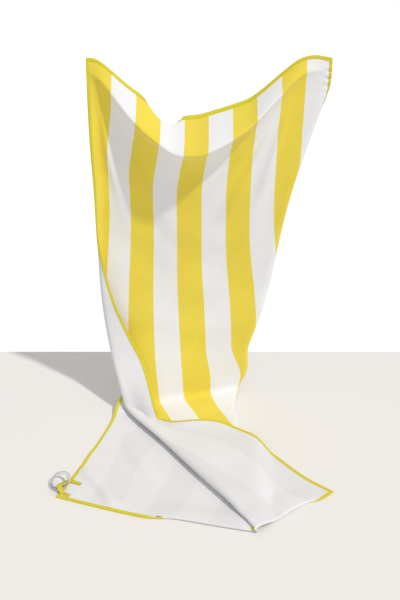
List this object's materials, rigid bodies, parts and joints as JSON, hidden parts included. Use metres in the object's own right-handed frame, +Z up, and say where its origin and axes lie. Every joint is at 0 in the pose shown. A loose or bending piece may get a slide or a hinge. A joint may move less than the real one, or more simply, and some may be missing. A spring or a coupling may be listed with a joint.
{
  "type": "beach towel",
  "caption": "Striped beach towel with bound edges, hung by its top corners and run out over the floor, with a clear ring in an elastic strap at a bottom corner.",
  "frame": {"origin": "midway between the two held top corners", "axes": "+Z up, -Y the way the towel's front faces, +X to the right as seen from the front"},
  "size_m": [0.8976, 0.8206, 1.2447],
  "materials": {
    "towel_cloth": "matt microfibre, woven in yellow and white stripes on the front, white on the reverse",
    "binding": "woven yellow tape folded over the edge",
    "thread": "twisted polyester sewing thread",
    "strap": "ribbed elastic webbing",
    "ring": "polished clear acrylic"
  },
  "bodies": {
    "towel": {"towel_cloth": "towel_cloth", "left_binding": "binding", "right_binding": "binding", "top_binding": "binding", "bottom_binding": "binding", "binding_stitching": "thread", "far_strap_tab": "strap", "near_strap_tab": "strap", "strap_bar_tacks": "thread"},
    "strap": {"loop_strap": "strap"},
    "ring": {"hanging_ring": "ring"}
  },
  "joints": [
    {"name": "strap_flop", "type": "hinge", "parent": "towel", "child": "strap", "pos_m": [-0.45218, -0.49439, -1.2392], "axis": [0.4611, 0.8874, 0], "range_deg": [0, 80]},
    {"name": "ring_spin", "type": "hinge", "parent": "strap", "child": "ring", "pos_m": [-0.46934, -0.44716, -1.22488], "axis": [-0.3388, -0.2754, 0.8997], "continuous": true}
  ]
}
